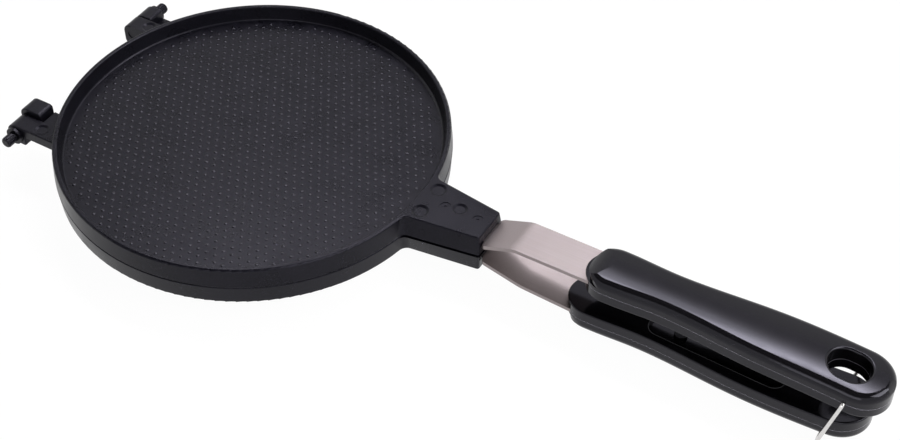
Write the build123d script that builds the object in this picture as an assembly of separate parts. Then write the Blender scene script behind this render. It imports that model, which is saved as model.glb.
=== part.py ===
from build123d import *
from math import asin, cos, hypot, pi, sin
import os

# Waffle cone pan: two hinged baking plates, each with a strap and a grip, held shut by a wire bail.
# Millimetres. X runs from the pan to the end of the handle, Y across it and Z up.
# The origin is the middle of the lower rim, on the surface that the pan stands on.
# Each half is built in its own frame, with Z measured outwards from the plane where the halves meet.

# Baking plates
rim_radius = 100.0
plate_height = 10.7
seam_gap = 0.3
side_draft = 0.8
rim_land = 2.5
tray_depth = 7.85
tray_wall_lean = 1.5
tray_foot_fillet = 1.0
rim_rounding = 1.0
rim_inner_rounding = 0.6
seam_rounding = 0.5
cavity_margin = 8.5
cavity_depth = 0.9
groove_margin = 3.5
groove_pitch = 13.0
groove_width = 1.3
groove_depth = 0.7
groove_angle = 30.0

# Tab that carries the strap
tab_length = 37.4
tab_root_half_width = 15.1
tab_end_half_width = 10.2
tab_end_draft = 0.9
tab_end_side_draft = 1.6
tab_root_side_draft = 2.6
tab_root_fillet = 4.5
tab_corner_radius = 1.4
tab_seam_gap = 1.6

# Round marks of the casting
mark_radius = 4.2
mark_slope_width = 1.2
mark_depth = 0.7
tab_mark_distance = 4.0
tab_mark_y = 8.4
middle_mark_inset = 17.7
middle_mark_y = 2.4
middle_mark_radius = 3.7
lug_mark_radius = 3.9
lug_mark_depth = 0.6
lug_mark_distance = 7.8

# Hinges
pin_distance = 8.3
pin_radius = 2.4
pin_running_clearance = 0.07
hinge_middle_y = 47.0
knuckle_side_gap = 0.6
knuckle_width = 10.0
knuckle_edge_rounding = 0.6
lug_height = 5.6
lug_seam_gap = 0.6
lug_root_width = 19.3
lug_edge_rounding = 0.6
barrel_radius = 5.6
barrel_corner_rounding = 1.4
barrel_back_flat = 0.1
block_back = 5.2
block_front = 8.5
block_rise = 8.5
block_corner_rounding = 2.0
block_back_rounding = 4.4
swing_clearance = 0.35
boss_radius = 4.7
boss_thickness = 1.8
pin_head_gap = 0.3
pin_head_radius = 2.9
pin_head_length = 6.1
pin_head_rounding = 1.2
pin_flute_radius = 0.45
pin_flute_count = 12
pin_flute_start = 1.0
pin_shank_overlap = 0.5
pin_end_gap = 0.4

# Straps
strap_thickness = 2.0
strap_width = 20.4
tang_width = 13.0
tail_width = 14.0
strap_fit = 0.1
strap_bend_radius = 10.0
strap_corner_radius = 2.0
tang_root_distance = 4.4
strap_tab_level = 4.4

# Bends of the straps, measured along X from the end of the tab
upper_bend_start = -1.2
upper_bend_end = 18.2
lower_bend_start = 0.6
lower_bend_end = 22.6
lower_bend_end_level = 9.8
lower_level_start = 61.6

# Rivets through tab and strap
rivet_head_radius = 2.8
rivet_shank_radius = 2.4
rivet_head_thickness = 1.4
rivet_sink = 0.3
rivet_dimple_radius = 0.9
rivet_dimple_depth = 0.35
rivet_y = 0.3
front_rivet_inset = 6.7
rear_rivet_inset = 24.6

# Grips, which start at a distance from the end of the tab; shares are of a grip's length
upper_grip_start = 52.6
upper_grip_length = 147.5
lower_grip_start = 44.6
lower_grip_length = 149.5
handle_gap = 12.0
grip_thickness = 13.1
grip_crown_radius = 75.0
grip_strap_rise = 6.15
grip_bend_share = 0.62
grip_bend_radius = 560.0
grip_nose_radius = 13.0
grip_waist_half_width = 11.8
grip_palm_half_width = 14.3
grip_tail_half_width = 15.3
waist_share = 0.257
palm_share = 0.54
nose_lip = 7.6
nose_slope_length = 13.0
tail_lip = 7.0
tail_slope_length = 9.5
slope_share = 0.34
collar_length = 1.7
collar_flare = 0.6
crown_rounding = 4.0
inner_edge_rounding = 0.8
recess_inset = 4.4
recess_start_share = 0.281
recess_length_share = 0.452
recess_corner_radius = 5.5
recess_depth = 3.0
recess_edge_rounding = 0.5
tail_start = 7.0

# Hang hole of the upper grip
hole_inset = 20.9
hole_length = 19.8
hole_width = 16.8
hole_lip = 1.2

# Grip screws and inserts
first_screw_share = 0.381
second_screw_share = 0.649
screw_radius = 1.9
screw_head_radius = 3.2
screw_head_height = 1.9
screw_slot_width = 0.9
screw_slot_depth = 0.9
insert_radius = 3.1
insert_length = 3.6
strap_hole_clearance = 0.2
insert_strap_gap = 0.3

# Wire bail
wire_radius = 0.95
bail_pivot_inset = 16.9
bail_pivot_rise = 4.0
bail_bar_inset = 24.1
bail_hole_depth = 6.0
bail_side_gap = 0.65
bail_bar_gap = 2.2
bail_bearing_clearance = 0.07
bail_eye_bend = 1.5
bail_corner_bend = 4.0
bail_end_gap = 0.3

# Sizes that follow from the driving ones
parting_z = plate_height + seam_gap / 2
rim_top = plate_height + seam_gap / 2
tray_level = rim_top - tray_depth
cavity_level = seam_gap / 2 + cavity_depth
cavity_radius = rim_radius - cavity_margin
groove_circle_radius = cavity_radius - groove_margin
tab_end_x = rim_radius + tab_length
pin_x = -rim_radius - pin_distance
upper_grip_front_x = tab_end_x + upper_grip_start
lower_grip_front_x = tab_end_x + lower_grip_start
upper_grip_end_x = upper_grip_front_x + upper_grip_length
hole_middle_x = upper_grip_end_x - hole_inset
bail_pivot_x = upper_grip_end_x - bail_pivot_inset
rivet_places = (tab_end_x - front_rivet_inset, tab_end_x - rear_rivet_inset)
knuckle_inner_y = hinge_middle_y - knuckle_side_gap / 2 - knuckle_width
knuckle_outer_y = hinge_middle_y + knuckle_side_gap / 2
knuckle_end_y = knuckle_outer_y + knuckle_width
block_corner = (block_front - block_corner_rounding, block_rise - block_corner_rounding)
block_reach = hypot(*block_corner) + block_corner_rounding
grip_inner_level = handle_gap / 2
grip_outer_level = grip_inner_level + grip_thickness
grip_strap_level = grip_inner_level + grip_strap_rise
insert_level = grip_strap_level + strap_thickness / 2 + insert_strap_gap
bail_pivot_level = grip_inner_level + bail_pivot_rise
bail_leg_y = grip_tail_half_width + bail_side_gap + wire_radius
bail_bar_x = upper_grip_end_x - bail_bar_inset
lower_bend_reach = bail_bar_x - lower_grip_front_x - grip_bend_share * lower_grip_length
lower_bend_drop = grip_bend_radius - (grip_bend_radius**2 - lower_bend_reach**2) ** 0.5
bail_bar_level = grip_outer_level - lower_bend_drop + bail_bar_gap + wire_radius
huge = 4 * rim_radius
cut_overlap = 1.0
strap_overlap = 5.0
same_place = 0.01


def bar_along_y(radius, start_y, end_y, x, z):
    """Round bar parallel to Y between two places along it."""
    middle = (start_y + end_y) / 2
    return Pos(x, middle, z) * Rot(90, 0, 0) * Cylinder(radius, abs(end_y - start_y))


def post(x, y, radius, low, high):
    """Upright round bar between two levels."""
    return Pos(x, y, (low + high) / 2) * Cylinder(radius, high - low)


def box_between(x_range, y_range, z_range):
    """Box given by its limits."""
    size = [abs(limit[1] - limit[0]) for limit in (x_range, y_range, z_range)]
    middle = [(limit[0] + limit[1]) / 2 for limit in (x_range, y_range, z_range)]
    return Pos(*middle) * Box(*size)


# Baking plates

def plate_disc():
    """Round tray with its rim, turned from its section."""
    section = Polyline(
        (0, cavity_level),
        (cavity_radius, cavity_level),
        (cavity_radius + cavity_depth, seam_gap / 2),
        (rim_radius + side_draft, seam_gap / 2),
        (rim_radius, rim_top),
        (rim_radius - rim_land, rim_top),
        (rim_radius - rim_land - tray_wall_lean, tray_level),
        (0, tray_level),
        close=True,
    )
    face = make_face(Plane.XZ * section)
    seam_edge = face.vertices().sort_by(Axis.X)[-1]
    face = fillet(seam_edge, seam_rounding)
    inner_edge = [v for v in face.vertices() if abs(v.X - rim_radius + rim_land) < same_place]
    face = fillet(inner_edge, rim_inner_rounding)
    foot = [v for v in face.vertices() if abs(v.X - rim_radius + rim_land + tray_wall_lean) < same_place]
    face = fillet(foot, tray_foot_fillet)
    return revolve(face, Axis.Z)


def waffle_grooves():
    """Crossing grooves that print the diamond pattern on the cone."""
    count = int(groove_circle_radius / groove_pitch)
    lines = Sketch()
    for angle in (groove_angle, -groove_angle):
        for index in range(-count, count + 1):
            place = Rot(0, 0, angle) * Pos(0, index * groove_pitch, 0)
            lines += place * Rectangle(2 * groove_circle_radius, groove_width)
    lines = lines & Circle(groove_circle_radius)
    return Pos(0, 0, cavity_level) * extrude(lines, groove_depth)


def tab_outline(spread, end_spread, root_spread):
    """Outline of the tab at one level, wider by its draft towards the seam."""
    taper = (tab_root_half_width + root_spread - tab_end_half_width - end_spread) / (tab_end_x - rim_radius)
    start_x = rim_radius - 2 * rim_land
    start_half_width = tab_root_half_width + root_spread + taper * (rim_radius - start_x)
    end_x = tab_end_x + spread
    end_half_width = tab_end_half_width + end_spread - taper * spread
    outline = Polyline(
        (start_x, -start_half_width),
        (end_x, -end_half_width),
        (end_x, end_half_width),
        (start_x, start_half_width),
        close=True,
    )
    return make_face(outline)


def tab():
    """Tapering tab, drafted so that it is widest at the seam."""
    low = Pos(0, 0, tab_seam_gap / 2) * tab_outline(tab_end_draft, tab_end_side_draft, tab_root_side_draft)
    high = Pos(0, 0, rim_top) * tab_outline(0, 0, 0)
    body = loft([low, high], ruled=True)
    corners = [e for e in body.edges() if e.center().X > tab_end_x and abs(e.center().Y) > tab_end_half_width]
    body = fillet(corners, tab_corner_radius)
    return body - Cylinder(rim_radius - rim_land / 2, huge)


def casting_blank():
    """Disc and tab in one, with the root and the outer edges rounded."""
    blank = plate_disc() + tab()
    roots = [
        e for e in blank.edges()
        if e.bounding_box().size.Z > tray_depth
        and hypot(e.center().X, e.center().Y) < rim_radius + side_draft
    ]
    blank = fillet(roots, tab_root_fillet)
    top_edges = [
        e for e in blank.edges().group_by(Axis.Z)[-1]
        if hypot(e.center().X, e.center().Y) > rim_radius - rim_rounding / 2
    ]
    return fillet(top_edges, rim_rounding)


def cast_mark(x, y, level, radius, depth):
    """Sloping round recess left by the die's pins."""
    floor_radius = radius - mark_slope_width
    return Pos(x, y, level - depth / 2) * Cone(floor_radius, radius, depth)


def knuckle_block(back, front, rise, back_rounding, corner_rounding, start_y, end_y):
    """Hinge knuckle whose far corner, across the seam, is squarer than its back."""
    corners = Polyline(
        (pin_x - back, lug_height),
        (pin_x - back, -rise),
        (pin_x + front, -rise),
        (pin_x + front, lug_height),
        close=True,
    )
    face = make_face(Plane.XZ * corners)
    face = fillet(face.vertices().group_by(Axis.X)[0], back_rounding)
    far_corner = face.vertices().group_by(Axis.Z)[0].sort_by(Axis.X)[-1]
    face = fillet(far_corner, corner_rounding)
    block = Pos(0, end_y, 0) * extrude(face, end_y - start_y)
    ends = [e for e in block.edges() if min(abs(e.center().Y - y) for y in (start_y, end_y)) < same_place]
    return fillet(ends, knuckle_edge_rounding)


def outer_knuckle(start_y, end_y):
    """Knuckle at the outer end of the hinge, with the boss under the pin's head."""
    back_rounding = barrel_radius - barrel_back_flat
    barrel = knuckle_block(
        barrel_radius, barrel_radius, barrel_radius, back_rounding, barrel_corner_rounding, start_y, end_y
    )
    return barrel + bar_along_y(boss_radius, start_y - boss_thickness, start_y + boss_thickness, pin_x, 0)


def inner_knuckle(start_y, end_y):
    """Square knuckle that stands past the other plate's lug."""
    return knuckle_block(
        block_back, block_front, block_rise, block_back_rounding, block_corner_rounding, start_y, end_y
    )


def lug_arm(start_y, end_y, root_end_y):
    """Arm from the rim to a knuckle, with a wider root clear of the other plate's block."""
    arm = box_between((pin_x, 0), (start_y, end_y), (lug_seam_gap / 2, lug_height))
    root = box_between((pin_x, 0), (start_y, root_end_y), (lug_seam_gap / 2, lug_height))
    root -= bar_along_y(block_reach + swing_clearance, -huge, huge, pin_x, 0)
    lug = arm + root - Cylinder(rim_radius - rim_land / 2, huge)
    top_edges = [
        e for e in lug.edges().group_by(Axis.Z)[-1]
        if e.center().X > pin_x + block_front and hypot(e.center().X, e.center().Y) > rim_radius
    ]
    return fillet(top_edges, lug_edge_rounding)


def lug_mark(middle_y):
    """Round mark on top of a lug."""
    circle_radius = rim_radius + lug_mark_distance
    x = -circle_radius * cos(asin(middle_y / circle_radius))
    return cast_mark(x, middle_y, lug_height, lug_mark_radius, lug_mark_depth)


def outer_lug():
    """Outer half of a hinge, where the pin turns."""
    start_y, end_y = -knuckle_end_y, -knuckle_outer_y
    lug = lug_arm(start_y, end_y, start_y + lug_root_width) + outer_knuckle(start_y, end_y)
    lug -= lug_mark((start_y + end_y) / 2)
    return lug - bar_along_y(pin_radius + pin_running_clearance, -huge, 0, pin_x, 0)


def inner_lug():
    """Inner half of a hinge, where the pin is pressed in."""
    start_y, end_y = knuckle_inner_y, knuckle_inner_y + knuckle_width
    lug = lug_arm(start_y, end_y, end_y) + inner_knuckle(start_y, end_y)
    lug -= lug_mark((start_y + end_y) / 2)
    return lug - bar_along_y(pin_radius, 0, huge, pin_x, 0)


def plate(route, grooves):
    """Whole casting of one half, with its strap slot, rivet holes and cooking face."""
    casting = casting_blank() + outer_lug() + inner_lug()
    for y in (-tab_mark_y, tab_mark_y):
        casting -= cast_mark(rim_radius + tab_mark_distance, y, rim_top, mark_radius, mark_depth)
    middle_mark_x = tab_end_x - middle_mark_inset
    casting -= cast_mark(middle_mark_x, middle_mark_y, rim_top, middle_mark_radius, mark_depth)
    slot = strap_bar(route, tang_width + 2 * strap_fit, strap_thickness + 2 * strap_fit)
    casting -= slot & box_between((0, tab_end_x + 2 * tab_end_draft), (-huge, huge), (-huge, huge))
    for x in rivet_places:
        casting -= Pos(x, rivet_y, 0) * Cylinder(rivet_shank_radius, huge)
        casting -= post(x, rivet_y, rivet_head_radius, rim_top - rivet_head_thickness - rivet_sink, huge)
    return casting - grooves


# Straps

def strap_route(points, radii):
    """Middle line of a strap: straight runs joined by bends."""
    return FilletPolyline(*[(x, 0, z) for x, z in points], radius=radii)


def recess_range(front_x, length):
    """Start and end of a grip's recess along X."""
    start_x = front_x + recess_start_share * length
    return start_x, start_x + recess_length_share * length


def tail_end(front_x, length):
    """End of a strap inside its grip."""
    return recess_range(front_x, length)[1] - recess_corner_radius


def upper_route():
    """Route of the upper strap, from its end in the tab to its end in the grip."""
    points = [
        (rim_radius + tang_root_distance, strap_tab_level),
        (tab_end_x + upper_bend_start, strap_tab_level),
        (tab_end_x + upper_bend_end, grip_strap_level),
        (tail_end(upper_grip_front_x, upper_grip_length), grip_strap_level),
    ]
    return strap_route(points, strap_bend_radius)


def lower_route():
    """Route of the lower strap, which leaves its tab in two gentler bends."""
    points = [
        (rim_radius + tang_root_distance, strap_tab_level),
        (tab_end_x + lower_bend_start, strap_tab_level),
        (tab_end_x + lower_bend_end, lower_bend_end_level),
        (tab_end_x + lower_level_start, grip_strap_level),
        (tail_end(lower_grip_front_x, lower_grip_length), grip_strap_level),
    ]
    return strap_route(points, [strap_bend_radius, 2 * strap_bend_radius, 4 * strap_bend_radius])


def strap_bar(route, width, thickness):
    """Flat bar of one width along a strap's route."""
    start = Plane(origin=route @ 0, x_dir=(0, 1, 0), z_dir=route % 0)
    return sweep(start * Rectangle(width, thickness), path=route)


def strap_plan(grip_front_x, grip_length):
    """Outline of a strap seen from above: narrow tang, full width, narrow tail."""
    grip_end_x = grip_front_x + grip_length
    shoulder_x = tab_end_x + tab_end_draft + strap_fit
    tail_x = grip_front_x + tail_start
    full = box_between((shoulder_x, tail_x), (-strap_width / 2, strap_width / 2), (-huge, huge))
    full = fillet(full.edges().filter_by(Axis.Z), strap_corner_radius)
    tang = box_between((0, shoulder_x + strap_overlap), (-tang_width / 2, tang_width / 2), (-huge, huge))
    tail = box_between((tail_x - strap_overlap, grip_end_x), (-tail_width / 2, tail_width / 2), (-huge, huge))
    return full + tang + tail


def screw_places(grip_front_x, grip_length):
    """The two places along a grip where its screws go."""
    return [grip_front_x + share * grip_length for share in (first_screw_share, second_screw_share)]


def strap(route, grip_front_x, grip_length):
    """Bent strap with its rivet and screw holes."""
    bar = strap_bar(route, strap_width, strap_thickness) & strap_plan(grip_front_x, grip_length)
    for x in rivet_places:
        bar -= Pos(x, rivet_y, 0) * Cylinder(rivet_shank_radius, huge)
    for x in screw_places(grip_front_x, grip_length):
        bar -= Pos(x, 0, 0) * Cylinder(screw_radius + strap_hole_clearance, huge)
    return bar


def rivet(x):
    """Flush rivet from the face of the tab to its inner side."""
    top = rim_top - rivet_sink
    shank = post(x, rivet_y, rivet_shank_radius, tab_seam_gap / 2, top)
    head = post(x, rivet_y, rivet_head_radius, top - rivet_head_thickness, top)
    dimple = post(x, rivet_y, rivet_dimple_radius, top - rivet_dimple_depth, rim_top)
    return shank + head - dimple


# Grips

def grip_plan(front_x, length):
    """Outline of a grip seen from above: round nose, waist and wider round tail."""
    nose_x = front_x + grip_nose_radius
    tail_x = front_x + length - grip_tail_half_width
    stations = [
        (nose_x, grip_nose_radius),
        (front_x + waist_share * length, grip_waist_half_width),
        (front_x + palm_share * length, grip_palm_half_width),
        (tail_x, grip_tail_half_width),
    ]
    near = Spline(*[(x, -y) for x, y in stations], tangents=[(1, 0), (1, 0)])
    far = Spline(*stations, tangents=[(1, 0), (1, 0)])
    nose = ThreePointArc((nose_x, -grip_nose_radius), (front_x, 0), (nose_x, grip_nose_radius))
    tail = ThreePointArc(
        (tail_x, -grip_tail_half_width), (front_x + length, 0), (tail_x, grip_tail_half_width)
    )
    return make_face([near, tail, far, nose])


def bend_drop(distance):
    """How far a grip has bent towards the other one at a distance past the start of its bend."""
    return grip_bend_radius - (grip_bend_radius**2 - distance**2) ** 0.5


def crowned_bar(front_x, length):
    """Long bar with a domed top, straight at first and bent towards the other grip at the tail."""
    bend_x = front_x + grip_bend_share * length
    reach = length / 2
    arch = Pos(0, grip_outer_level - grip_crown_radius) * Circle(grip_crown_radius)
    section = arch & Pos(0, grip_outer_level) * Rectangle(3 * grip_tail_half_width, 2 * grip_thickness)
    path = Line((0, 0, 0), (bend_x, 0, 0))
    path += TangentArc((bend_x, 0, 0), (bend_x + reach, 0, -bend_drop(reach)), tangent=(1, 0, 0))
    return sweep(Plane.YZ * section, path=path)


def end_slope(end_x, inward, lip, length):
    """Block above the sloping top at one end of a grip; inward is the way to its middle."""
    lip_level = grip_inner_level + lip
    slope_end_x = end_x + inward * length
    beyond_x = end_x - inward * length
    slope = Bezier(
        (end_x, lip_level),
        (end_x + inward * length * slope_share, grip_outer_level),
        (slope_end_x, grip_outer_level),
    )
    above = Polyline(
        (slope_end_x, grip_outer_level),
        (slope_end_x, 2 * grip_outer_level),
        (beyond_x, 2 * grip_outer_level),
        (beyond_x, lip_level),
        (end_x, lip_level),
    )
    return extrude(Plane.XZ * make_face([slope, above]), huge, both=True)


def collar_step(front_x):
    """Cut above the collar at the very front, where the strap enters the grip."""
    nose_x = front_x + grip_nose_radius
    radius = grip_nose_radius + collar_flare
    lip_level = grip_inner_level + nose_lip
    outside = Pos(front_x, 0) * Rectangle(2 * grip_nose_radius, huge)
    outside -= Pos(front_x + collar_length + radius, 0) * Circle(radius)
    outside &= Pos(nose_x - huge / 2, 0) * Rectangle(huge, huge)
    return Pos(0, 0, lip_level) * extrude(outside, huge)


def recess_plan(front_x, length):
    """Outline of the recess for the screw heads, which widens with the grip."""
    start_x, end_x = recess_range(front_x, length)
    start_half_width = grip_waist_half_width - recess_inset
    end_half_width = grip_palm_half_width - recess_inset
    outline = Polyline(
        (start_x, -start_half_width),
        (end_x, -end_half_width),
        (end_x, end_half_width),
        (start_x, start_half_width),
        close=True,
    )
    face = make_face(outline)
    return fillet(face.vertices(), recess_corner_radius)


def edges_between(body, low, high):
    """Edges that lie between two levels and run along the grip."""
    boxes = [(e, e.bounding_box()) for e in body.edges()]
    return [e for e, box in boxes if box.min.Z > low and box.max.Z < high and box.size.X > same_place]


def grip(route, front_x, length):
    """Moulded grip round its strap, with the recess for the screw heads."""
    body = extrude(grip_plan(front_x, length), 2 * grip_outer_level) & crowned_bar(front_x, length)
    body = fillet(edges_between(body, insert_level, huge), crown_rounding)
    body = fillet(edges_between(body, 0, grip_inner_level + same_place), inner_edge_rounding)
    body -= end_slope(front_x, 1, nose_lip, nose_slope_length)
    body -= end_slope(front_x + length, -1, tail_lip, tail_slope_length)
    body -= collar_step(front_x)
    recess = extrude(recess_plan(front_x, length), recess_depth + cut_overlap)
    body -= Pos(0, 0, grip_inner_level - cut_overlap) * recess
    start_x, end_x = recess_range(front_x, length)
    recess_edges = [
        e for e in edges_between(body, 0, grip_inner_level + same_place)
        if start_x - same_place < e.center().X < end_x + same_place
        and abs(e.center().Y) < grip_palm_half_width - recess_inset + same_place
    ]
    body = fillet(recess_edges, recess_edge_rounding)
    full_slot = strap_bar(route, strap_width + 2 * strap_fit, strap_thickness + 2 * strap_fit)
    tail_slot = strap_bar(route, tail_width + 2 * strap_fit, strap_thickness + 2 * strap_fit)
    tail_x = front_x + tail_start + strap_fit
    body -= full_slot & box_between((0, tail_x), (-huge, huge), (-huge, huge))
    body -= tail_slot
    for x in screw_places(front_x, length):
        body -= Pos(x, 0, 0) * Cylinder(screw_radius, 2 * insert_level + insert_length)
        body -= insert_blank(x, insert_radius)
    return body


def insert_blank(x, radius):
    """Round space above the strap where an insert sits."""
    return post(x, 0, radius, insert_level, insert_level + insert_length)


def grip_insert(x):
    """Brass insert that a grip screw bites in."""
    return insert_blank(x, insert_radius) - insert_blank(x, screw_radius)


def grip_screw(x):
    """Slotted screw from the recess, through the strap, into the insert."""
    seat = grip_inner_level + recess_depth
    slot_level = seat - screw_head_height
    shank = post(x, 0, screw_radius, seat, insert_level + insert_length)
    head = post(x, 0, screw_head_radius, slot_level, seat)
    slot = Pos(x, 0, slot_level) * Box(2.5 * screw_head_radius, screw_slot_width, 2 * screw_slot_depth)
    return shank + head - slot


def hang_hole():
    """Long hole through the tail of the upper grip."""
    return Pos(hole_middle_x, 0, 0) * extrude(SlotOverall(hole_length, hole_width), huge)


def bail_bearings():
    """Holes in the sides of the upper grip for the ends of the bail."""
    inner_y = bail_leg_y - bail_hole_depth - bail_side_gap - wire_radius
    hole = bar_along_y(wire_radius + bail_bearing_clearance, inner_y, huge, bail_pivot_x, bail_pivot_level)
    return hole + mirror(hole, Plane.XZ)


def upper_grip():
    """Upper grip with its hang hole and the bail's bearings."""
    body = grip(upper_route(), upper_grip_front_x, upper_grip_length)
    body -= hang_hole()
    lip_edges = [
        e for e in edges_between(body, insert_level, huge)
        if hypot(e.center().X - hole_middle_x, e.center().Y) < hole_length / 2 + same_place
    ]
    body = fillet(lip_edges, hole_lip)
    return body - bail_bearings()


# Bail and hinge pins

def bail():
    """Wire loop: two ends in the grip, two legs and the bar under the lower grip."""
    lean_x = bail_pivot_inset - bail_bar_inset
    drop = bail_pivot_level + bail_bar_level
    leg = hypot(lean_x, drop)
    end_y = bail_leg_y - wire_radius - bail_side_gap - bail_hole_depth + bail_end_gap
    flat = FilletPolyline(
        (end_y, 0),
        (bail_leg_y, 0),
        (bail_leg_y, leg),
        (-bail_leg_y, leg),
        (-bail_leg_y, 0),
        (-end_y, 0),
        radius=[bail_eye_bend, bail_corner_bend, bail_corner_bend, bail_eye_bend],
    )
    leg_direction = (lean_x / leg, 0, -drop / leg)
    bail_plane = Plane(
        origin=(bail_pivot_x, 0, bail_pivot_level),
        x_dir=(0, 1, 0),
        z_dir=Vector(0, 1, 0).cross(Vector(*leg_direction)),
    )
    path = bail_plane * flat
    start = Plane(origin=path @ 0, z_dir=path % 0)
    return sweep(start * Circle(wire_radius), path=path)


def hinge_pin():
    """Pin of the hinge at negative Y, with its ribbed head outwards."""
    head_start = knuckle_end_y + boss_thickness + pin_head_gap
    head_end = head_start + pin_head_length
    shank = bar_along_y(pin_radius, -knuckle_inner_y - pin_end_gap, -head_start - pin_shank_overlap, pin_x, 0)
    head = bar_along_y(pin_head_radius, -head_start, -head_end, pin_x, 0)
    head = fillet(head.edges().sort_by(Axis.Y)[0], pin_head_rounding)
    for index in range(pin_flute_count):
        angle = 2 * pi * index / pin_flute_count
        x = pin_x + pin_head_radius * cos(angle)
        z = pin_head_radius * sin(angle)
        flute_start, flute_end = -head_start - pin_flute_start, -head_end - pin_flute_start
        head -= bar_along_y(pin_flute_radius, flute_start, flute_end, x, z)
    return shank + head


# Assembly

def place_upper(shape):
    """Upper half: its own frame already points up."""
    return Pos(0, 0, parting_z) * shape


def place_lower(shape):
    """Lower half: turned over about the handle's line."""
    return Pos(0, 0, parting_z) * Rot(180, 0, 0) * shape


def all_parts():
    """Every piece in its place, by name."""
    grooves = waffle_grooves()
    parts = {
        "upper_plate": place_upper(plate(upper_route(), grooves)),
        "lower_plate": place_lower(plate(lower_route(), grooves)),
        "upper_strap": place_upper(strap(upper_route(), upper_grip_front_x, upper_grip_length)),
        "lower_strap": place_lower(strap(lower_route(), lower_grip_front_x, lower_grip_length)),
        "upper_grip": place_upper(upper_grip()),
        "lower_grip": place_lower(grip(lower_route(), lower_grip_front_x, lower_grip_length)),
        "bail": place_upper(bail()),
        "left_hinge_pin": place_upper(hinge_pin()),
        "right_hinge_pin": place_lower(hinge_pin()),
    }
    halves = {
        "upper": (place_upper, screw_places(upper_grip_front_x, upper_grip_length)),
        "lower": (place_lower, screw_places(lower_grip_front_x, lower_grip_length)),
    }
    for half, (place, screws) in halves.items():
        for end, rivet_x, screw_x in zip(("front", "rear"), rivet_places, screws):
            parts[f"{half}_{end}_rivet"] = place(rivet(rivet_x))
            parts[f"{half}_{end}_screw"] = place(grip_screw(screw_x))
            parts[f"{half}_{end}_insert"] = place(grip_insert(screw_x))
    return parts


def main():
    os.makedirs("parts", exist_ok=True)
    for name, shape in all_parts().items():
        export_step(shape, f"parts/{name}.step")
        print(name, round(shape.volume, 1))


main()
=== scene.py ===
# %% [markdown]
# Waffle cone pan: the looks.
# The solids of the pan come from CAD: two coated castings, two steel straps, two moulded grips,
# a wire bail, hinge pins, rivets, screws and inserts. This lesson gives each of them the surface
# that the real one has, and adds the relief that is too fine for CAD: the pips on the back of each
# plate.

# %% Load the frame
import math

import bpy
from mathutils import Matrix, Vector


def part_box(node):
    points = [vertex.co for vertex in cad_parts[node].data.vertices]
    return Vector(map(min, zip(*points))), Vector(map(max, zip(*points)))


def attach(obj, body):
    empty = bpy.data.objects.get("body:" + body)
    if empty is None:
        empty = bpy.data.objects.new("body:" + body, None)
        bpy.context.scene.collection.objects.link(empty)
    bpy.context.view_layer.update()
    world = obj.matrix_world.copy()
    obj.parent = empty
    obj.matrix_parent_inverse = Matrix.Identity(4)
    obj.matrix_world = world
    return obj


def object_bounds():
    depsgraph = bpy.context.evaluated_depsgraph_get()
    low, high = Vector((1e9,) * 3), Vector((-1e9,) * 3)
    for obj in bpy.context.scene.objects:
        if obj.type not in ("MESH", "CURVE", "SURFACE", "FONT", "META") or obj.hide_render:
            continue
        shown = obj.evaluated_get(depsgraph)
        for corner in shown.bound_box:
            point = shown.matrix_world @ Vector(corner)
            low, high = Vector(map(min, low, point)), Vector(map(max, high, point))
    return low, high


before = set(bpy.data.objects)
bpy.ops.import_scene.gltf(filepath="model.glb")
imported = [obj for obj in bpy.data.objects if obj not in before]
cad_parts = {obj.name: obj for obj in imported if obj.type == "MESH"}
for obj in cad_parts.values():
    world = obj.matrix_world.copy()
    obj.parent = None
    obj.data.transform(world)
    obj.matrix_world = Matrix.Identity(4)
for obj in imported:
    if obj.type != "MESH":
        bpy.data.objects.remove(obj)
cad_box = [list(corner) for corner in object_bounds()]
mm = 0.001
print("nodes:", len(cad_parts), "box in metres:", cad_box)

# %% [markdown]
# The camera. The photograph was taken from above the near side of the handle, about 0.8 m away and
# 45 degrees up. A lens of 66 mm on a 36 mm sensor gives the same taper from the plates to the grip.
# The place and the aim were worked out from the round rims and the straight handle, so a pixel of
# the render is a pixel of the photograph. One helper puts an object in the scene and another turns
# it to what it looks at, and the lamps use both again.

# %% Camera at the photograph's angle
def new_object(name, data):
    """Object with the given mesh, lamp or camera, linked to the scene."""
    made = bpy.data.objects.new(name, data)
    bpy.context.scene.collection.objects.link(made)
    return made


def aimed(place, target):
    """Matrix of an object that stands at a place and looks at a target."""
    place, target = Vector(place), Vector(target)
    turn = (target - place).to_track_quat("-Z", "Y").to_matrix().to_4x4()
    return Matrix.Translation(place) @ turn


camera_place = Vector((0.404076, -0.484110, 0.578412))
camera_target = Vector((0.113867, 0.002729, 0.010850))
camera_roll = math.radians(-0.066)
sensor_width_mm = 36.0
lens_mm = 66.24

camera_data = bpy.data.cameras.new("photo_camera")
camera_data.sensor_width = sensor_width_mm
camera_data.lens = lens_mm
camera = new_object("photo_camera", camera_data)
camera.matrix_world = aimed(camera_place, camera_target) @ Matrix.Rotation(camera_roll, 4, "Z")
bpy.context.scene.camera = camera
print("camera distance:", round((camera_target - camera_place).length, 4), "m")

# %% [markdown]
# Nodes and colours. A material is a small graph, so one helper adds a node, sets what is given and
# links what comes from another node. Colours are written as on a colour picker, in sRGB, and turned
# to the linear values that light is worked out in.

# %% Helpers for node trees
def add(tree, kind, inputs=None, **settings):
    """Adds a node, sets its settings, and gives each input a value or a link."""
    node = tree.nodes.new(kind)
    for name, value in settings.items():
        setattr(node, name, value)
    for key, value in (inputs or {}).items():
        if isinstance(value, bpy.types.NodeSocket):
            tree.links.new(value, node.inputs[key])
        else:
            node.inputs[key].default_value = value
    return node


def srgb(text):
    """Linear colour of an sRGB hex value."""
    parts = [int(text[i:i + 2], 16) / 255 for i in (1, 3, 5)]
    linear = [p / 12.92 if p <= 0.04045 else ((p + 0.055) / 1.055) ** 2.4 for p in parts]
    return (*linear, 1.0)


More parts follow.
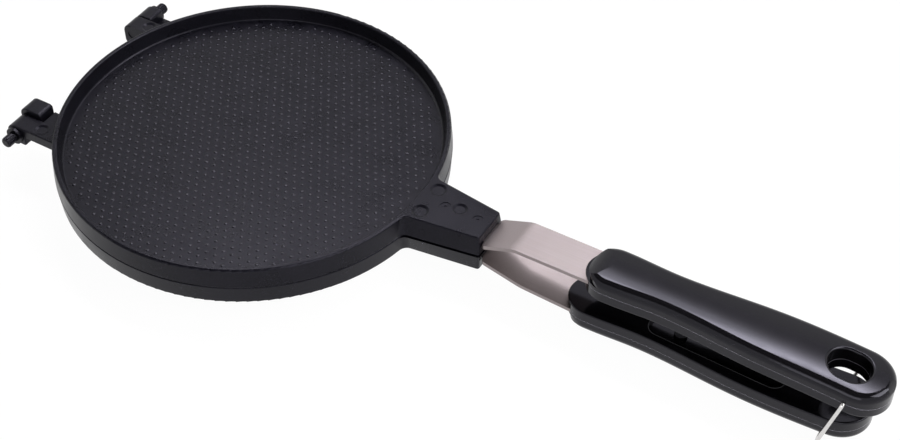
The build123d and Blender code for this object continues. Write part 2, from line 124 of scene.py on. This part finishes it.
def new_material(name):
    """Empty material with its output and one Principled shader."""
    material = bpy.data.materials.new(name)
    material.use_nodes = True
    tree = material.node_tree
    tree.nodes.clear()
    shader = add(tree, "ShaderNodeBsdfPrincipled")
    add(tree, "ShaderNodeOutputMaterial", {"Surface": shader.outputs["BSDF"]})
    return material, tree, shader


def per_metre(size_mm):
    """Noise scale that gives features of this size in millimetres."""
    return 1.0 / (size_mm * mm)


noise_low, noise_high = 0.3, 0.7     # most values of a noise lie between these
print("noise scale of a feature of 1 mm:", round(per_metre(1.0)))

# %% [markdown]
# Non-stick coating on a die casting. The plates are aluminium, cast in a steel die, blasted and
# sprayed with a fluoropolymer coating that is baked on. The eye sees a dark, slightly violet
# charcoal with a soft sheen: sprayed drops leave a fine pebbled skin, the coat is a little thinner
# in some places than in others, and pale flecks lie in it. The colour of the skin is painted light:
# painted shade darkens its hollows and a painted highlight lightens its drops. The metal never
# shows, so the shader stays a dielectric with the low IOR of a fluoropolymer.

# %% Baked coating
grain_mm = 0.9       # real drops dry to about 0.3 mm, drawn coarser so that they show from here
blotch_mm = 14.0
fleck_mm = 1.6
skin_depth_mm = 0.035
skin_strength = 0.5
# painted light: the coat is painted darker in the hollows of the skin as shade and lighter on the
# drops as highlight
hollow_painted_shade, drop_painted_highlight = 0.72, 1.3
fleck_outside, fleck_inside = 0.16, 0.08
fleck_cover = 0.5
coating_ior = 1.4
coating_tint = "#e6e3f4"


def coated(name, thin, thick, fleck, low_roughness, high_roughness, gloss=0.26):
    """Sprayed and baked fluoropolymer coating, with its pebbled skin and pale flecks."""
    material, tree, shader = new_material(name)
    place = add(tree, "ShaderNodeTexCoord").outputs["Object"]
    blotch = add(tree, "ShaderNodeTexNoise", {
        "Vector": place, "Scale": per_metre(blotch_mm), "Detail": 3.0}).outputs["Fac"]
    grain = add(tree, "ShaderNodeTexNoise", {
        "Vector": place, "Scale": per_metre(grain_mm), "Detail": 2.0}).outputs["Fac"]
    drops = add(tree, "ShaderNodeTexVoronoi", {"Vector": place, "Scale": per_metre(fleck_mm)})
    coat = add(tree, "ShaderNodeMix", {
        "Factor": blotch, "A": srgb(thick), "B": srgb(thin)}, data_type="RGBA")
    # the noise that raises the skin also paints its colour: painted shade in the hollows, painted
    # highlight on the drops
    painted_skin_shading = add(tree, "ShaderNodeMapRange", {
        "Value": grain, "From Min": noise_low, "From Max": noise_high,
        "To Min": hollow_painted_shade, "To Max": drop_painted_highlight})
    painted_skin_coat = add(tree, "ShaderNodeVectorMath", {
        0: coat.outputs["Result"], "Scale": painted_skin_shading.outputs["Result"]}, operation="SCALE")
    fleck_mask = add(tree, "ShaderNodeMapRange", {
        "Value": drops.outputs["Distance"], "From Min": fleck_outside, "From Max": fleck_inside,
        "To Min": 0.0, "To Max": fleck_cover})
    colour = add(tree, "ShaderNodeMix", {
        "Factor": fleck_mask.outputs["Result"], "A": painted_skin_coat.outputs["Vector"],
        "B": srgb(fleck)}, data_type="RGBA")
    roughness = add(tree, "ShaderNodeMapRange", {
        "Value": blotch, "From Min": noise_low, "From Max": noise_high,
        "To Min": low_roughness, "To Max": high_roughness})
    skin = add(tree, "ShaderNodeBump", {
        "Height": grain, "Strength": skin_strength, "Distance": skin_depth_mm * mm})
    tree.links.new(colour.outputs["Result"], shader.inputs["Base Color"])
    tree.links.new(roughness.outputs["Result"], shader.inputs["Roughness"])
    tree.links.new(skin.outputs["Normal"], shader.inputs["Normal"])
    shader.inputs["IOR"].default_value = coating_ior
    shader.inputs["Specular IOR Level"].default_value = gloss
    shader.inputs["Specular Tint"].default_value = srgb(coating_tint)
    return material


casting_coat = coated(
    "fluoropolymer_coated_die_cast_aluminium", "#15141b", "#0c0c11", "#34333c", 0.24, 0.36)
pin_coat = coated(
    "fluoropolymer_coated_turned_steel", "#14131a", "#0c0c10", "#2c2c34", 0.26, 0.34)
rivet_coat = coated(
    "fluoropolymer_coated_headed_aluminium", "#16151d", "#0e0e13", "#2e2e36", 0.26, 0.34)
pip_coat = coated(
    "rubbed_fluoropolymer_coating", "#17161d", "#0e0e12", "#34333c", 0.16, 0.25, gloss=0.55)
print("coatings:", casting_coat.name, pin_coat.name, rivet_coat.name, pip_coat.name)

# %% [markdown]
# Satin stainless steel. The straps are punched from cold-rolled strip, bent, and rubbed with a fine
# belt along their length. The grain of the belt is far finer than a pixel, so the eye gets a smooth
# warm grey that is drawn out a little across the grain, with a few longer scratches.

# %% Belt-finished strip
belt_grain_mm = 0.35   # real belt marks are near 0.05 mm wide, drawn coarser so that they show
belt_length_mm = 30.0
cloud_mm = 25.0
mark_low, mark_high = 0.25, 0.75
tone_low, tone_high = 0.3, 0.7
belt_smooth, belt_rough = 0.48, 0.56
belt_strength = 0.3
scratch_depth_mm = 0.01


def belt_finished_steel(name, pale, dull):
    """Stainless strip with belt marks along X, the length of the handle."""
    material, tree, shader = new_material(name)
    place = add(tree, "ShaderNodeTexCoord").outputs["Object"]
    drawn = add(tree, "ShaderNodeMapping", {
        "Vector": place, "Scale": (belt_grain_mm / belt_length_mm, 1.0, 1.0)})
    marks = add(tree, "ShaderNodeTexNoise", {
        "Vector": drawn.outputs["Vector"], "Scale": per_metre(belt_grain_mm),
        "Detail": 3.0}).outputs["Fac"]
    cloud = add(tree, "ShaderNodeTexNoise", {
        "Vector": place, "Scale": per_metre(cloud_mm), "Detail": 2.0}).outputs["Fac"]
    tone = add(tree, "ShaderNodeMapRange", {
        "Value": marks, "From Min": mark_low, "From Max": mark_high,
        "To Min": tone_low, "To Max": tone_high})
    colour = add(tree, "ShaderNodeMix", {
        "Factor": tone.outputs["Result"], "A": srgb(dull), "B": srgb(pale)}, data_type="RGBA")
    roughness = add(tree, "ShaderNodeMapRange", {
        "Value": cloud, "From Min": noise_low, "From Max": noise_high,
        "To Min": belt_smooth, "To Max": belt_rough})
    groove = add(tree, "ShaderNodeBump", {
        "Height": marks, "Strength": belt_strength, "Distance": scratch_depth_mm * mm})
    tree.links.new(colour.outputs["Result"], shader.inputs["Base Color"])
    tree.links.new(roughness.outputs["Result"], shader.inputs["Roughness"])
    tree.links.new(groove.outputs["Normal"], shader.inputs["Normal"])
    shader.inputs["Metallic"].default_value = 1.0
    return material


strap_steel = belt_finished_steel("belt_finished_stainless_steel", "#9f9696", "#908686")
print("straps:", strap_steel.name)

# %% [markdown]
# The mould line. Where the two halves of a grip's die met, the flash was trimmed off, which leaves
# a thin, pale, dull line along the sides. It is too fine for CAD, so it is a mask worked out from
# where a point lies and which way it faces. The line keeps its distance from the parting plane of
# the pan and follows the bend of the grip at the tail.

# %% Trimmed mould line
parting_plane_mm = 10.85
seam_distance_mm = 11.6
seam_half_width_mm = 0.22    # the real line is near 0.2 mm wide, drawn coarser so that it shows
bend_start_mm = 278.0        # midway between the two grips, which bend from 281 and 275 mm
bend_radius_mm = 560.0
too_level, upright_enough = 0.5, 0.2


def trimmed_seam(tree, coordinates):
    """Mask of the trimmed line along the sides of a grip."""
    at = add(tree, "ShaderNodeSeparateXYZ", {"Vector": coordinates.outputs["Object"]})
    facing = add(tree, "ShaderNodeSeparateXYZ", {"Vector": coordinates.outputs["Normal"]})
    steps = (
        ("past", "SUBTRACT", at.outputs["X"], bend_start_mm * mm),
        ("past", "MAXIMUM", "past", 0.0),
        ("bend", "MULTIPLY", "past", "past"),
        ("bend", "DIVIDE", "bend", 2 * bend_radius_mm * mm),
        ("level", "SUBTRACT", at.outputs["Z"], parting_plane_mm * mm),
        ("level", "ABSOLUTE", "level", 0.0),
        ("level", "ADD", "level", "bend"),
        ("level", "SUBTRACT", "level", seam_distance_mm * mm),
        ("level", "ABSOLUTE", "level", 0.0),
        ("slope", "ABSOLUTE", facing.outputs["Z"], 0.0),
    )
    found = {}
    for result, operation, *terms in steps:
        values = [found[term] if isinstance(term, str) else term for term in terms]
        worked = add(tree, "ShaderNodeMath", dict(enumerate(values)), operation=operation)
        found[result] = worked.outputs["Value"]
    line = add(tree, "ShaderNodeMapRange", {
        "Value": found["level"], "From Min": seam_half_width_mm * mm,
        "From Max": seam_half_width_mm * mm / 2})
    side = add(tree, "ShaderNodeMapRange", {
        "Value": found["slope"], "From Min": too_level, "From Max": upright_enough})
    mask = add(tree, "ShaderNodeMath", {
        0: line.outputs["Result"], 1: side.outputs["Result"]}, operation="MULTIPLY")
    return mask.outputs["Value"]


print("mould line:", seam_distance_mm, "mm from the parting plane of the pan")

# %% [markdown]
# Black phenolic grips. They are compression moulded in polished steel dies, so they come out glossy
# and nearly black. The surface follows the die, but shrinks a little over the thick middle, which
# bends the reflections by a hair, and handling leaves faint duller patches. The mould line is mixed
# in as a paler and rougher resin.

# %% Polished phenolic moulding
shrink_mm = 18.0
shrink_depth_mm = 0.03
shrink_strength = 0.4
touch_mm = 9.0
touch_low, touch_high = 0.35, 0.75
polished, handled = 0.1, 0.15
phenolic_ior = 1.45
phenolic_gloss = 0.38
phenolic_tint = "#eae8f8"
seam_roughness = 0.3


def phenolic(name, black, brown, trimmed):
    """Glossy compression-moulded phenolic resin."""
    material, tree, shader = new_material(name)
    coordinates = add(tree, "ShaderNodeTexCoord")
    place = coordinates.outputs["Object"]
    seam = trimmed_seam(tree, coordinates)
    shrink = add(tree, "ShaderNodeTexNoise", {
        "Vector": place, "Scale": per_metre(shrink_mm), "Detail": 1.0})
    touch = add(tree, "ShaderNodeTexNoise", {
        "Vector": place, "Scale": per_metre(touch_mm), "Detail": 4.0}).outputs["Fac"]
    resin = add(tree, "ShaderNodeMix", {
        "Factor": touch, "A": srgb(black), "B": srgb(brown)}, data_type="RGBA")
    colour = add(tree, "ShaderNodeMix", {
        "Factor": seam, "A": resin.outputs["Result"], "B": srgb(trimmed)}, data_type="RGBA")
    polish = add(tree, "ShaderNodeMapRange", {
        "Value": touch, "From Min": touch_low, "From Max": touch_high,
        "To Min": polished, "To Max": handled})
    roughness = add(tree, "ShaderNodeMath", {
        0: seam, 1: seam_roughness, 2: polish.outputs["Result"]}, operation="MULTIPLY_ADD")
    wave = add(tree, "ShaderNodeBump", {
        "Height": shrink.outputs["Fac"], "Strength": shrink_strength,
        "Distance": shrink_depth_mm * mm})
    tree.links.new(colour.outputs["Result"], shader.inputs["Base Color"])
    tree.links.new(roughness.outputs["Value"], shader.inputs["Roughness"])
    tree.links.new(wave.outputs["Normal"], shader.inputs["Normal"])
    shader.inputs["IOR"].default_value = phenolic_ior
    shader.inputs["Specular IOR Level"].default_value = phenolic_gloss
    shader.inputs["Specular Tint"].default_value = srgb(phenolic_tint)
    return material


grip_phenolic = phenolic("compression_moulded_phenolic_resin", "#0a090b", "#0f0e11", "#74727a")
print("grips:", grip_phenolic.name)

# %% [markdown]
# Metals. The bail is drawn spring wire with a bright plating, the screws are steel drawn near
# black, so that they don't show in the recess of the grip, and the inserts are turned brass.
# Drawing leaves lines along the wire, turning leaves rings, and plating leaves a fine cloudy bloom.
# At this size all of them read as a slightly uneven shine.

# %% Bright wire, near-black steel and brass
shine_strength = 0.25
shine_depth_mm = 0.01


def bright_metal(name, pale, dull, mark_mm, low_roughness, high_roughness):
    """Plated or turned metal with fine marks of the given size."""
    material, tree, shader = new_material(name)
    place = add(tree, "ShaderNodeTexCoord").outputs["Object"]
    marks = add(tree, "ShaderNodeTexNoise", {
        "Vector": place, "Scale": per_metre(mark_mm), "Detail": 4.0}).outputs["Fac"]
    colour = add(tree, "ShaderNodeMix", {
        "Factor": marks, "A": srgb(dull), "B": srgb(pale)}, data_type="RGBA")
    roughness = add(tree, "ShaderNodeMapRange", {
        "Value": marks, "From Min": noise_low, "From Max": noise_high,
        "To Min": low_roughness, "To Max": high_roughness})
    relief = add(tree, "ShaderNodeBump", {
        "Height": marks, "Strength": shine_strength, "Distance": shine_depth_mm * mm})
    tree.links.new(colour.outputs["Result"], shader.inputs["Base Color"])
    tree.links.new(roughness.outputs["Result"], shader.inputs["Roughness"])
    tree.links.new(relief.outputs["Normal"], shader.inputs["Normal"])
    shader.inputs["Metallic"].default_value = 1.0
    return material


bail_wire = bright_metal("bright_drawn_spring_wire", "#e4e2e0", "#c6c4c4", 1.2, 0.16, 0.26)
# the screws are drawn near black so that they don't show in the recess of the grip
near_black_screw_steel = bright_metal("near_black_steel", "#3a3a3e", "#242427", 0.8, 0.3, 0.4)
insert_brass = bright_metal("turned_brass", "#d9bd7c", "#b89552", 0.6, 0.22, 0.32)
print("metals:", bail_wire.name, near_black_screw_steel.name, insert_brass.name)

# %% [markdown]
# Each solid now gets its finish. The solids stay as CAD made them, and only their material slots
# change.

# %% Finishes on the solids
finishes = {
    "plate": casting_coat,
    "strap": strap_steel,
    "grip": grip_phenolic,
    "bail": bail_wire,
    "pin": pin_coat,
    "rivet": rivet_coat,
    "screw": near_black_screw_steel,
    "insert": insert_brass,
}
for name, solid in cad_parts.items():
    finish = finishes[name.split("_")[-1]]
    for slot in solid.material_slots:
        slot.material = finish
print("solids finished:", len(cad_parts))

# %% [markdown]
# Pips. The back of each plate is covered with small round pips in staggered rows, 4.6 mm apart,
# each a low dome nearly 2 mm wide. They are cast with the plate and carry its coating, which hands
# and hobs rub smoother on their tops, so each one catches a short bright dash of the lamp. There
# are well over a thousand on each side, all alike, so Geometry Nodes place them, and their sizes
# are the inputs of the node tree.

# %% Inputs of the pips
ball_radius = 1.1 * mm
ball_half_height = 0.4 * mm
pip_inputs = (
    ("Field radius", "NodeSocketFloat", 92.6 * mm),
    ("Pip spacing", "NodeSocketFloat", 4.63 * mm),
    ("Points along a side", "NodeSocketInt", 50),
    ("Turn of the rows", "NodeSocketFloat", math.radians(3.0)),
    ("Ball radius", "NodeSocketFloat", ball_radius),
    ("Ball half height", "NodeSocketFloat", ball_half_height),
    ("Floor level", "NodeSocketFloat", 0.0),
    ("Finish", "NodeSocketMaterial", None),
)
pip_tree = bpy.data.node_groups.new("pips_on_a_round_floor", "GeometryNodeTree")
pip_tree.is_modifier = True
pip_keys = {}
for title, kind, value in pip_inputs:
    socket = pip_tree.interface.new_socket(name=title, in_out="INPUT", socket_type=kind)
    if value is not None:
        socket.default_value = value
    pip_keys[title] = socket.identifier
pip_tree.interface.new_socket(name="Pips", in_out="OUTPUT", socket_type="NodeSocketGeometry")
print("inputs of the pips:", ", ".join(pip_keys))

# %% [markdown]
# The lattice. The points of a grid are numbered row by row, and each gets a new place from its row
# and its column: every other row is shifted by half a spacing and the rows are drawn together,
# which gives triangles with equal sides. The lattice is then turned to the direction seen in the
# photograph.

# %% Triangular lattice of points
given = add(pip_tree, "NodeGroupInput").outputs
count = given["Points along a side"]
row_step = math.sqrt(3) / 2
grid = add(pip_tree, "GeometryNodeMeshGrid", {"Vertices X": count, "Vertices Y": count})
index = add(pip_tree, "GeometryNodeInputIndex").outputs["Index"]
row_share = add(pip_tree, "ShaderNodeMath", {0: index, 1: count}, operation="DIVIDE").outputs[0]
row = add(pip_tree, "ShaderNodeMath", {0: row_share}, operation="FLOOR").outputs[0]
column = add(pip_tree, "ShaderNodeMath", {0: index, 1: count}, operation="MODULO").outputs[0]
odd = add(pip_tree, "ShaderNodeMath", {0: row, 1: 2.0}, operation="MODULO").outputs[0]
middle = add(pip_tree, "ShaderNodeMath", {
    0: count, 1: 0.5, 2: -0.5}, operation="MULTIPLY_ADD").outputs[0]
shifted = add(pip_tree, "ShaderNodeMath", {
    0: odd, 1: 0.5, 2: column}, operation="MULTIPLY_ADD").outputs[0]
across = add(pip_tree, "ShaderNodeMath", {0: shifted, 1: middle}, operation="SUBTRACT").outputs[0]
rows_past = add(pip_tree, "ShaderNodeMath", {0: row, 1: middle}, operation="SUBTRACT").outputs[0]
along = add(pip_tree, "ShaderNodeMath", {
    0: rows_past, 1: row_step}, operation="MULTIPLY").outputs[0]
lattice = add(pip_tree, "ShaderNodeCombineXYZ", {"X": across, "Y": along})
sized = add(pip_tree, "ShaderNodeVectorMath", {
    0: lattice.outputs["Vector"], "Scale": given["Pip spacing"]}, operation="SCALE")
turned = add(pip_tree, "ShaderNodeVectorRotate", {
    "Vector": sized.outputs["Vector"], "Angle": given["Turn of the rows"]})
placed = add(pip_tree, "GeometryNodeSetPosition", {
    "Geometry": grid.outputs["Mesh"], "Position": turned.outputs["Vector"]})
print("nodes of the lattice:", len(pip_tree.nodes))

# %% [markdown]
# The balls. The lattice is cut to a circle, and one small flattened ball is put on each point that
# is left. Half of its upper side stands above the floor and the rest is sunk in it, so a pip has
# gentle sides and no open edge. Their sizes differ a little, as those of worn pips do.

# %% A flattened ball on each point
smallest_pip, largest_pip = 0.92, 1.06
pip_seed = 7
points = add(pip_tree, "GeometryNodeMeshToPoints", {"Mesh": placed.outputs["Geometry"]})
here = add(pip_tree, "GeometryNodeInputPosition").outputs["Position"]
from_middle = add(pip_tree, "ShaderNodeVectorMath", {0: here}, operation="LENGTH")
outside = add(pip_tree, "FunctionNodeCompare", {
    "A": from_middle.outputs["Value"], "B": given["Field radius"]}, operation="GREATER_THAN")
kept = add(pip_tree, "GeometryNodeDeleteGeometry", {
    "Geometry": points.outputs["Points"], "Selection": outside.outputs["Result"]})
ball_size = add(pip_tree, "ShaderNodeCombineXYZ", {
    "X": given["Ball radius"], "Y": given["Ball radius"], "Z": given["Ball half height"]})
ball = add(pip_tree, "GeometryNodeMeshUVSphere", {"Segments": 10, "Rings": 6, "Radius": 1.0})
flat_ball = add(pip_tree, "GeometryNodeTransform", {
    "Geometry": ball.outputs["Mesh"], "Scale": ball_size.outputs["Vector"]})
wear = add(pip_tree, "FunctionNodeRandomValue", {
    "Min": smallest_pip, "Max": largest_pip, "Seed": pip_seed}, data_type="FLOAT")
drawn_size = [socket for socket in wear.outputs if socket.enabled][0]
balls = add(pip_tree, "GeometryNodeInstanceOnPoints", {
    "Points": kept.outputs["Geometry"], "Instance": flat_ball.outputs["Geometry"],
    "Scale": drawn_size})
real = add(pip_tree, "GeometryNodeRealizeInstances", {"Geometry": balls.outputs["Instances"]})
lift = add(pip_tree, "ShaderNodeCombineXYZ", {"Z": given["Floor level"]})
lifted = add(pip_tree, "GeometryNodeTransform", {
    "Geometry": real.outputs["Geometry"], "Translation": lift.outputs["Vector"]})
smooth = add(pip_tree, "GeometryNodeSetShadeSmooth", {"Geometry": lifted.outputs["Geometry"]})
coated_balls = add(pip_tree, "GeometryNodeSetMaterial", {
    "Geometry": smooth.outputs["Geometry"], "Material": given["Finish"]})
add(pip_tree, "NodeGroupOutput", {"Pips": coated_balls.outputs["Geometry"]})
print("nodes of the pips:", len(pip_tree.nodes))

# %% [markdown]
# The trays. The tree is run once for each plate, and its result is kept as a plain mesh that rides
# on that half of the pan. The level of a floor follows from the box of its casting and the depth of
# the tray.

# %% Pips on both tray floors
def grown(name, tree, settings):
    """Runs a Geometry Nodes tree with its settings and keeps the result as a plain mesh object."""
    holder = new_object(name + "_seed", bpy.data.meshes.new(name + "_seed"))
    modifier = holder.modifiers.new("grow", "NODES")
    modifier.node_group = tree
    for key, value in settings.items():
        modifier[key] = value
    evaluated = holder.evaluated_get(bpy.context.evaluated_depsgraph_get())
    mesh = bpy.data.meshes.new_from_object(evaluated)
    bpy.data.objects.remove(holder)
    mesh.name = name
    return new_object(name, mesh)


tray_depth = 7.85 * mm
pip_sink = ball_half_height / 2
upper_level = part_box("upper_plate")[1].z - tray_depth - pip_sink
lower_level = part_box("lower_plate")[0].z + tray_depth + pip_sink
pip_fields = (
    ("upper_pips", upper_level, "upper_half"),
    ("lower_pips", lower_level, "lower_half"),
)
for name, level, body in pip_fields:
    pips = grown(name, pip_tree, {pip_keys["Floor level"]: level, pip_keys["Finish"]: pip_coat})
    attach(pips, body)
    print(name, "faces:", len(pips.data.polygons), "level:", round(level / mm, 2), "mm")

# %% [markdown]
# The studio. The pan stands on plain white paper that curves up into a round wall, so everything
# low around it is white and the ceiling is dark.

# %% Paper floor and wall
floor_gap = 0.1 * mm
floor_level = cad_box[0][2] - floor_gap
flat_reach = 8.0
wall_reach = 9.0
wall_height = 9.0
sides = 72
curve_steps = 10
curve_radius = wall_reach - flat_reach
profile = [(flat_reach, 0.0)]
for step in range(1, curve_steps + 1):
    angle = math.pi / 2 * step / curve_steps
    profile.append((
        flat_reach + curve_radius * math.sin(angle), curve_radius * (1 - math.cos(angle))))
profile.append((wall_reach, wall_height))
floor_points = [(0.0, 0.0, floor_level)]
for ring_radius, ring_height in profile:
    for side in range(sides):
        angle = 2 * math.pi * side / sides
        floor_points.append((
            ring_radius * math.cos(angle), ring_radius * math.sin(angle),
            floor_level + ring_height))
floor_faces = [(0, 1 + side, 1 + (side + 1) % sides) for side in range(sides)]
for ring in range(len(profile) - 1):
    for side in range(sides):
        near, beside = 1 + ring * sides + side, 1 + ring * sides + (side + 1) % sides
        floor_faces.append((near, near + sides, beside + sides, beside))
floor_mesh = bpy.data.meshes.new("floor")
floor_mesh.from_pydata(floor_points, [], floor_faces)
floor = new_object("floor", floor_mesh)
print("floor level:", round(floor_level / mm, 2), "mm")

# %% [markdown]
# The paper. In a studio picture the paper comes out an even white. Here it gives off nearly all of
# that white itself, to the camera and to reflections, and the rest is plain matt paper, so a faint
# shadow of the pan stays. All other rays meet only the matt paper.

# %% Matt white paper
def show(tree, surface):
    """Links a surface to the output of a material."""
    output = [node for node in tree.nodes if node.type == "OUTPUT_MATERIAL"][0]
    tree.links.new(surface, output.inputs["Surface"])


paper_roughness = 0.9
white_share = 0.95
white_strength = 1.02
pure_white = (1.0, 1.0, 1.0, 1.0)
paper, paper_tree, paper_shader = new_material("matt_white_paper")
paper_shader.inputs["Base Color"].default_value = srgb("#f4f4f4")
paper_shader.inputs["Roughness"].default_value = paper_roughness
rays = add(paper_tree, "ShaderNodeLightPath").outputs
seen_or_mirrored = add(paper_tree, "ShaderNodeMath", {
    0: rays["Is Camera Ray"], 1: rays["Is Glossy Ray"]}, operation="MAXIMUM")
seen = add(paper_tree, "ShaderNodeMath", {
    0: seen_or_mirrored.outputs["Value"], 1: rays["Is Transmission Ray"]}, operation="MAXIMUM")
share = add(paper_tree, "ShaderNodeMath", {
    0: seen.outputs["Value"], 1: white_share}, operation="MULTIPLY")
white = add(paper_tree, "ShaderNodeEmission", {"Color": pure_white, "Strength": white_strength})
paper_mix = add(paper_tree, "ShaderNodeMixShader", {
    0: share.outputs["Value"], 1: paper_shader.outputs["BSDF"], 2: white.outputs["Emission"]})
show(paper_tree, paper_mix.outputs["Shader"])
floor_mesh.materials.append(paper)
print("paper:", paper.name, "gives off", white_share, "of its white")

# %% [markdown]
# The light. A wide diffusion panel hangs behind the pan, 38 to 60 degrees up from the grip, with
# its lamps along the top. The domed grip shows it as a pale band that begins sharply near the close
# edge and fades across the top. Past the panel the ceiling is dim.

# %% Dim ceiling and graded panel
def lamp_panel(name, corner, across, up, dim, bright, fade):
    """Flat diffusion panel with its lamps along the top, so it is dimmer towards the bottom."""
    mesh = bpy.data.meshes.new(name)
    corners = [corner, corner + across, corner + across + up, corner + up]
    mesh.from_pydata(corners, [], [(0, 1, 2, 3)])
    panel = new_object(name, mesh)
    material, tree, shader = new_material(name + "_diffusion_cloth")
    place = add(tree, "ShaderNodeTexCoord").outputs["Object"]
    height = add(tree, "ShaderNodeSeparateXYZ", {"Vector": place}).outputs["Z"]
    climb = add(tree, "ShaderNodeMapRange", {
        "Value": height, "From Min": corner.z, "From Max": corner.z + up.z})
    grade = add(tree, "ShaderNodeMath", {
        0: climb.outputs["Result"], 1: fade}, operation="POWER")
    level = add(tree, "ShaderNodeMath", {
        0: grade.outputs["Value"], 1: bright - dim, 2: dim}, operation="MULTIPLY_ADD")
    glow = add(tree, "ShaderNodeEmission", {
        "Color": srgb("#fbfaff"), "Strength": level.outputs["Value"]})
    show(tree, glow.outputs["Emission"])
    tree.nodes.remove(shader)
    mesh.materials.append(material)


def seen_from(place, azimuth, elevation, distance):
    """Point at an azimuth and elevation in degrees, as seen from a place."""
    azimuth, elevation = math.radians(azimuth), math.radians(elevation)
    flat = distance * math.cos(elevation)
    step = (flat * math.cos(azimuth), flat * math.sin(azimuth), distance * math.sin(elevation))
    return Vector(place) + Vector(step)


grip_middle = (0.26, 0.0, 0.03)
panel_distance = 1.3
panel_low = seen_from(grip_middle, 121.0, 38.0, panel_distance)
panel_high = seen_from(grip_middle, 133.0, 60.0, panel_distance)
panel_across = Vector((1.25, 0.0, 0.0))
panel_left = Vector((0.45, 0.0, 0.0))
panel_dim, panel_bright, panel_fade = 1.0, 25.0, 4.2
world_strength = 0.15

world = bpy.data.worlds.new("studio")
world.use_nodes = True
bpy.context.scene.world = world
ceiling = world.node_tree.nodes["Background"]
ceiling.inputs["Color"].default_value = pure_white
ceiling.inputs["Strength"].default_value = world_strength
lamp_panel("graded_panel", panel_low - panel_left, panel_across, panel_high - panel_low,
           panel_dim, panel_bright, panel_fade)
print("panel from", round(panel_low.z, 2), "to", round(panel_high.z, 2), "m up")

# %% [markdown]
# The lamps. Two weak lamps, one at the right and one in front, light the sides of the plates, which
# the panel behind them leaves dark. The colours are shown as they come out, with no film look.

# %% Two weak lamps
def soft_lamp(name, place, target, width, height, power):
    """Rectangular soft lamp aimed at a point."""
    data = bpy.data.lights.new(name, "AREA")
    data.shape = "RECTANGLE"
    data.size = width
    data.size_y = height
    data.energy = power
    new_object(name, data).matrix_world = aimed(place, target)


plates_middle = (0.1, 0.0, 0.0)
right_fill_watts = 16.0
near_fill_watts = 4.0
soft_lamp("right_fill", (1.3, 0.2, 1.1), plates_middle, 1.0, 0.8, right_fill_watts)
soft_lamp("near_fill", (0.5, -1.4, 0.7), plates_middle, 1.0, 0.6, near_fill_watts)
bpy.context.scene.view_settings.view_transform = "Standard"
print("lamps:", right_fill_watts, "and", near_fill_watts, "W")
